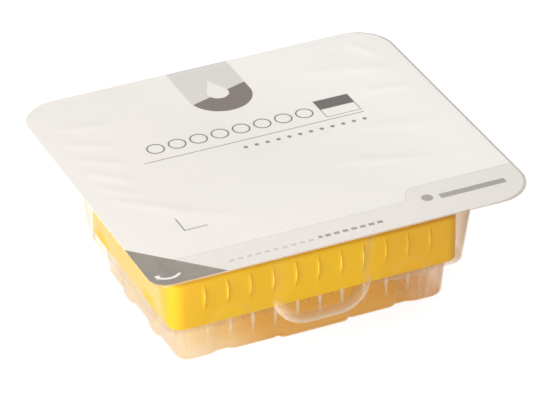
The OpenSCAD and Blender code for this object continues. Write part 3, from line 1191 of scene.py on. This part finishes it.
def tip_plastic():
    """Thin, pale and shiny, with a light core and clear edges."""
    s = Shader("tip_plastic")
    x, y, height = s.place()
    grain = s.bump(s.noise(900, 3), 0.00002, 0.5)
    facing = s.node("LayerWeight", Blend=0.5, Normal=grain).outputs["Facing"]
    skin = s.node("BsdfDiffuse", Color=TIP_SKIN, Normal=grain).outputs[0]
    glow = s.node("BsdfTranslucent", Color=TIP_GLOW, Normal=grain).outputs[0]
    gloss = s.node("BsdfGlossy", Color=TIP_SKIN, Roughness=0.3, Normal=grain).outputs[0]
    through = s.node("BsdfTransparent", Color=TIP_CLEAR).outputs[0]
    # clearer towards the thin end, in the inner rows, at the lit end and at a glancing look
    thin = s.most(
        s.ramp(height, tip_low[2] + 1, tip_low[2] + 13, 0.9, 0.4),
        s.ramp(s.gap(y), outer_tip[1] - 6, outer_tip[1] - 3, 0.985, 0.5),
        s.ramp(x, -outer_tip[0] - 2, -outer_tip[0] + 2 * PITCH, 0.97, 0.6),
        s.ramp(facing, 0.45, 0.85, 0.4, 0.97),
    )
    body = s.mix(thin, s.mix(0.15, skin, glow), through)
    return s.finish(s.mix(s.ramp(facing, 0, 1, 0.06, 0.02), body, gloss))


# ---------------------------------------------------------------- the object

pieces = [
    (draw_tray(), clear_sheet(), "clear_sheet", "blister_tray"),
    (draw_film(), printed_film(), "printed_film", "lidding_film"),
    (draw_rack(), yellow_plastic(), "yellow_plastic", "tip_rack"),
]
tip_material = tip_plastic()
for number in range(1, COLUMNS + 1):
    pieces.append((draw_tips(number), tip_material, "tip_plastic", f"tip_column_{number}"))
for piece, material, slot, node in pieces:
    piece.data.materials.append(material)
    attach(piece, "root")
    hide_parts(node)

# ---------------------------------------------------------------- stage

AMBIENT = 0.5  # the sky's strength as a light, where it's 1 as a background
FLOOR_HALF = 3000
FLOOR_Z = -0.05  # just under the tray
FLOOR_LIGHT = (1.04, 0.86)  # painted light: how bright the floor looks at the left and at the right
FLOOR_FADE = (-48, -5)  # and between which places along x it changes


def seen_directly(tree):
    """1 for rays from the camera, off gloss or through glass."""
    path = tree.nodes.new("ShaderNodeLightPath")
    total = None
    for name in ("Is Camera Ray", "Is Glossy Ray", "Is Transmission Ray"):
        if total is None:
            total = path.outputs[name]
            continue
        most = tree.nodes.new("ShaderNodeMath")
        most.operation = "MAXIMUM"
        tree.links.new(total, most.inputs[0])
        tree.links.new(path.outputs[name], most.inputs[1])
        total = most.outputs[0]
    return total


def make_world():
    """A white sky that lights the scene less than it shows."""
    world = bpy.data.worlds.new("studio")
    bpy.context.scene.world = world
    world.use_nodes = True
    tree = world.node_tree
    tree.nodes.clear()
    dim = tree.nodes.new("ShaderNodeBackground")
    dim.inputs["Strength"].default_value = AMBIENT
    bright = tree.nodes.new("ShaderNodeBackground")
    bright.inputs["Strength"].default_value = 1
    for background in (dim, bright):
        background.inputs["Color"].default_value = (1, 1, 1, 1)
    mix = tree.nodes.new("ShaderNodeMixShader")
    tree.links.new(seen_directly(tree), mix.inputs[0])
    tree.links.new(dim.outputs[0], mix.inputs[1])
    tree.links.new(bright.outputs[0], mix.inputs[2])
    output = tree.nodes.new("ShaderNodeOutputWorld")
    tree.links.new(mix.outputs[0], output.inputs["Surface"])


def make_floor():
    """A pale floor. Looked at directly it's white but for the shadow, and painted light makes it
    brighter at the left than at the right.
    """
    signs = ((-1, -1), (1, -1), (1, 1), (-1, 1))
    corners = [(x * FLOOR_HALF, y * FLOOR_HALF, FLOOR_Z) for x, y in signs]
    floor = add_piece("floor", corners, [(0, 1, 2, 3)])
    s = Shader("floor")
    plain = s.node("BsdfDiffuse", Color=(0.8, 0.8, 0.8)).outputs[0]
    shade = s.node("BsdfDiffuse", Color=(0.20, 0.20, 0.20)).outputs[0]
    # painted light: the floor glows brighter at the left than at the right
    strength = s.ramp(s.place()[0], *FLOOR_FADE, *FLOOR_LIGHT)
    light = s.node("Emission", Color=(1, 1, 1), Strength=strength).outputs[0]
    shown = s.node("AddShader")
    s.tree.links.new(shade, shown.inputs[0])
    s.tree.links.new(light, shown.inputs[1])
    floor.data.materials.append(s.finish(s.mix(seen_directly(s.tree), plain, shown.outputs[0])))


def add_light(name, place, target, size, power):
    """A rectangular lamp that points at target, in metres and watts."""
    data = bpy.data.lights.new(name, "AREA")
    data.shape = "RECTANGLE"
    data.size, data.size_y = size
    data.energy = power
    lamp = bpy.data.objects.new(name, data)
    lamp.location = place
    lamp.rotation_euler = (Vector(target) - Vector(place)).to_track_quat("-Z", "Y").to_euler()
    bpy.context.scene.collection.objects.link(lamp)


def add_camera():
    """The camera of the reference view, from its bearing, height and distance."""
    azimuth, elevation, roll = -24.30, 31.79, -0.57
    target = Vector((-0.0037, -0.0103, 0.0403))
    distance = 1.320
    a, e = math.radians(azimuth), math.radians(elevation)
    back = Vector((math.sin(a) * math.cos(e), -math.cos(a) * math.cos(e), math.sin(e)))
    data = bpy.data.cameras.new("camera")
    data.sensor_width = 36
    data.lens = 235.6
    camera = bpy.data.objects.new("camera", data)
    turn = back.to_track_quat("Z", "Y").to_matrix() @ Matrix.Rotation(math.radians(roll), 3, "Z")
    camera.matrix_world = Matrix.Translation(target + back * distance) @ turn.to_4x4()
    bpy.context.scene.collection.objects.link(camera)
    bpy.context.scene.camera = camera


make_world()
make_floor()
add_light("key", (-0.95, -0.25, 0.27), (0, 0, 0.03), (0.7, 0.4), 11.3)
add_light("fill", (-0.28, -0.75, 0.25), (0, 0, 0.03), (0.5, 0.4), 2.85)
add_light("top", (0.45, 0.45, 1.15), (0, 0, 0), (1.0, 1.0), 6.9)
add_camera()
bpy.context.scene.cycles.transparent_max_bounces = 24
bpy.context.scene.view_settings.view_transform = "Standard"
